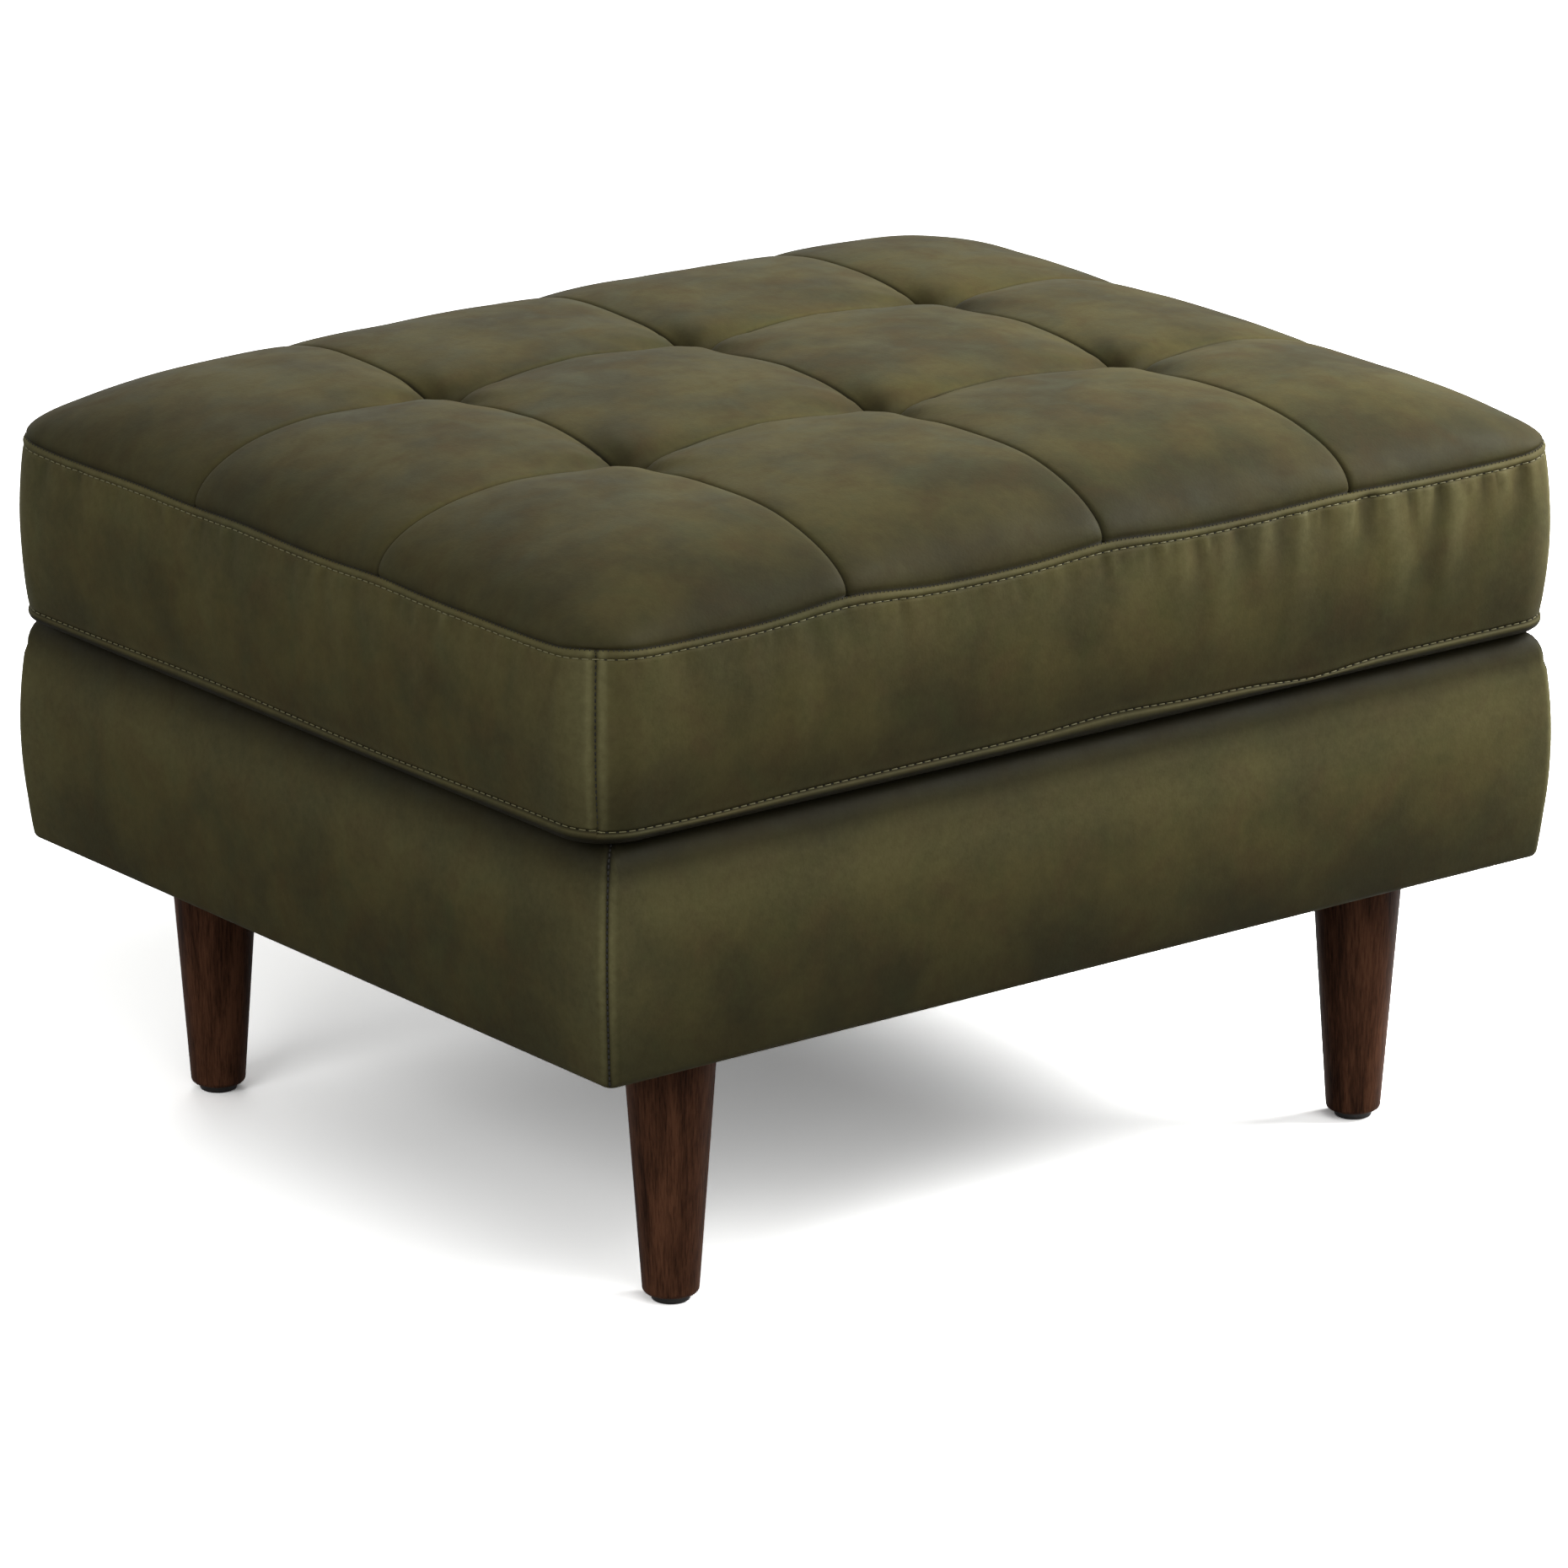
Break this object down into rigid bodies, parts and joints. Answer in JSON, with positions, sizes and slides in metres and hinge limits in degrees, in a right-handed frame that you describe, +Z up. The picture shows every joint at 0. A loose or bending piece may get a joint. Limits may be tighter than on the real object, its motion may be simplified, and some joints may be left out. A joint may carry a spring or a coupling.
{
  "type": "tufted ottoman",
  "caption": "Rectangular leather ottoman: a loose tufted box cushion on an upholstered base with tapered wooden legs.",
  "frame": {"origin": "on the floor, under the middle of the base", "axes": "+X along the long side, +Y towards the back where the cushion's zip is, +Z up"},
  "size_m": [0.733, 0.603, 0.469],
  "materials": {
    "olive_leather": "satin",
    "stained_wood": "satin",
    "frame_wood": "matte",
    "foam": "matte",
    "wadding": "matte",
    "webbing": "matte",
    "black_cloth": "matte",
    "zip_tape": "matte",
    "tie_cord": "matte",
    "washer_plastic": "matte",
    "glide_plastic": "matte",
    "zinc_steel": "satin",
    "zip_metal": "satin"
  },
  "bodies": {
    "base": {"base_leather_front": "olive_leather", "base_pad_front": "foam", "rail_front": "frame_wood", "base_leather_right": "olive_leather", "base_pad_right": "foam", "rail_right": "frame_wood", "base_leather_back": "olive_leather", "base_pad_back": "foam", "rail_back": "frame_wood", "base_leather_left": "olive_leather", "base_pad_left": "foam", "rail_left": "frame_wood", "leg_front_left": "stained_wood", "glide_front_left": "glide_plastic", "corner_block_front_left": "frame_wood", "leg_front_right": "stained_wood", "glide_front_right": "glide_plastic", "corner_block_front_right": "frame_wood", "leg_back_left": "stained_wood", "glide_back_left": "glide_plastic", "corner_block_back_left": "frame_wood", "leg_back_right": "stained_wood", "glide_back_right": "glide_plastic", "corner_block_back_right": "frame_wood", "stretcher": "frame_wood", "hanger_bolts": "zinc_steel", "flange_nuts": "zinc_steel", "webbing_side_to_side": "webbing", "webbing_front_to_back": "webbing", "deck_foam": "foam", "deck_cloth": "black_cloth", "dust_cover": "black_cloth"},
    "cushion": {"tufted_top": "olive_leather", "boxing_front": "olive_leather", "boxing_right": "olive_leather", "boxing_left": "olive_leather", "boxing_back_upper": "olive_leather", "boxing_back_lower": "olive_leather", "bottom_cover": "olive_leather", "foam_core": "foam", "top_wadding": "wadding", "side_wadding_front": "wadding", "side_wadding_right": "wadding", "side_wadding_back": "wadding", "side_wadding_left": "wadding", "tuft_ties": "tie_cord", "tie_washers": "washer_plastic", "zip_tape_upper": "zip_tape", "zip_tape_lower": "zip_tape", "zip_stops": "zip_metal"},
    "zip_slider": {"zip_slider": "zip_metal", "zip_pull": "zip_metal"}
  },
  "joints": [
    {"name": "cushion_lift", "type": "slide", "parent": "base", "child": "cushion", "axis": [0, 0, 1], "range_m": [0, 0.25]},
    {"name": "zip_run", "type": "slide", "parent": "cushion", "child": "zip_slider", "axis": [1, 0, 0], "range_m": [0, 0.572]}
  ]
}
